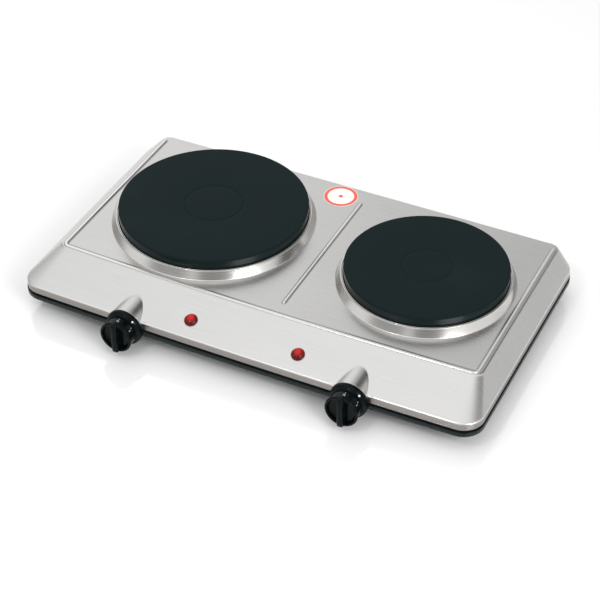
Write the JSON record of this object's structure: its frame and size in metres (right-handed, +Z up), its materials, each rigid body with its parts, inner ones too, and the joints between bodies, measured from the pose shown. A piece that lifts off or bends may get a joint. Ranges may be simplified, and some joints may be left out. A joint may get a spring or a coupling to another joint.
{
  "type": "double hot plate",
  "caption": "Low tabletop electric cooker with cast-iron hot plates on a brushed steel cover, a sloping front panel with thermostat knobs and pilot lamps, and a black base on feet.",
  "frame": {"origin": "on the table, under the middle of the bounding box of the whole object", "axes": "+Z up, +X to the user's right along the object's width, -Y towards the user, where the knobs are"},
  "size_m": [0.4652, 0.2884, 0.0662],
  "materials": {
    "cover_steel": "fine brushed stainless sheet, satin",
    "ring_steel": "bright spun stainless sheet",
    "bright_sheet": "bright rolled sheet",
    "base_enamel": "black enamel, satin",
    "cast_iron": "black heat-proof coating on machined iron, matte",
    "black_plastic": "glossy black thermoset",
    "black_rubber": "matte",
    "red_lens": "clear red, glossy",
    "lamp_glass": "clear glass",
    "pale_ceramic": "unglazed ceramic, matte",
    "zinc_steel": "zinc plated",
    "dark_steel": "blackened steel",
    "coil_metal": "oxidised heating alloy",
    "brass_parts": "bright",
    "brown_lead": "silicone rubber insulation",
    "green_lead": "silicone rubber insulation",
    "white_lead": "glass braid insulation",
    "label_film": "printed film, satin"
  },
  "bodies": {
    "housing": {"top_cover": "cover_steel", "base_pan": "base_enamel", "heat_shield": "bright_sheet", "large_hot_plate": "cast_iron", "small_hot_plate": "cast_iron", "large_trim_ring": "ring_steel", "small_trim_ring": "ring_steel", "large_heating_coil": "coil_metal", "small_heating_coil": "coil_metal", "large_coil_insulation": "pale_ceramic", "small_coil_insulation": "pale_ceramic", "large_plate_backing": "zinc_steel", "small_plate_backing": "zinc_steel", "large_terminal_bushes": "pale_ceramic", "small_terminal_bushes": "pale_ceramic", "large_plate_stud": "zinc_steel", "small_plate_stud": "zinc_steel", "plate_spacers": "zinc_steel", "large_clamp_bar": "zinc_steel", "small_clamp_bar": "zinc_steel", "clamp_washers": "zinc_steel", "clamp_nuts": "zinc_steel", "large_thermal_cutout": "pale_ceramic", "small_thermal_cutout": "pale_ceramic", "left_thermostat": "pale_ceramic", "right_thermostat": "pale_ceramic", "left_thermostat_bracket": "zinc_steel", "right_thermostat_bracket": "zinc_steel", "thermostat_screws": "zinc_steel", "left_knob_collar": "black_plastic", "right_knob_collar": "black_plastic", "left_pilot_lens": "red_lens", "right_pilot_lens": "red_lens", "left_neon_lamp": "lamp_glass", "right_neon_lamp": "lamp_glass", "pilot_lens_clips": "zinc_steel", "mains_terminal_block": "pale_ceramic", "terminal_block_screws": "zinc_steel", "cord_gland": "black_rubber", "gland_lock_ring": "black_plastic", "earth_stud": "brass_parts", "supply_leads": "brown_lead", "left_circuit_leads": "white_lead", "right_circuit_leads": "white_lead", "pilot_lamp_leads": "white_lead", "earth_lead": "green_lead", "front_left_foot": "black_rubber", "front_right_foot": "black_rubber", "rear_left_foot": "black_rubber", "rear_right_foot": "black_rubber", "cover_screws": "dark_steel", "shield_screws": "zinc_steel", "heat_label": "label_film"},
    "left_control": {"left_control_shaft": "zinc_steel", "left_knob": "black_plastic", "left_knob_clip": "zinc_steel"},
    "right_control": {"right_control_shaft": "zinc_steel", "right_knob": "black_plastic", "right_knob_clip": "zinc_steel"}
  },
  "joints": [
    {"name": "left_knob_turn", "type": "hinge", "parent": "housing", "child": "left_control", "pos_m": [-0.1142, -0.12959, 0.0234], "axis": [0, 1, 0], "range_deg": [0, 270]},
    {"name": "right_knob_turn", "type": "hinge", "parent": "housing", "child": "right_control", "pos_m": [0.1142, -0.12959, 0.0234], "axis": [0, 1, 0], "range_deg": [0, 270]}
  ]
}
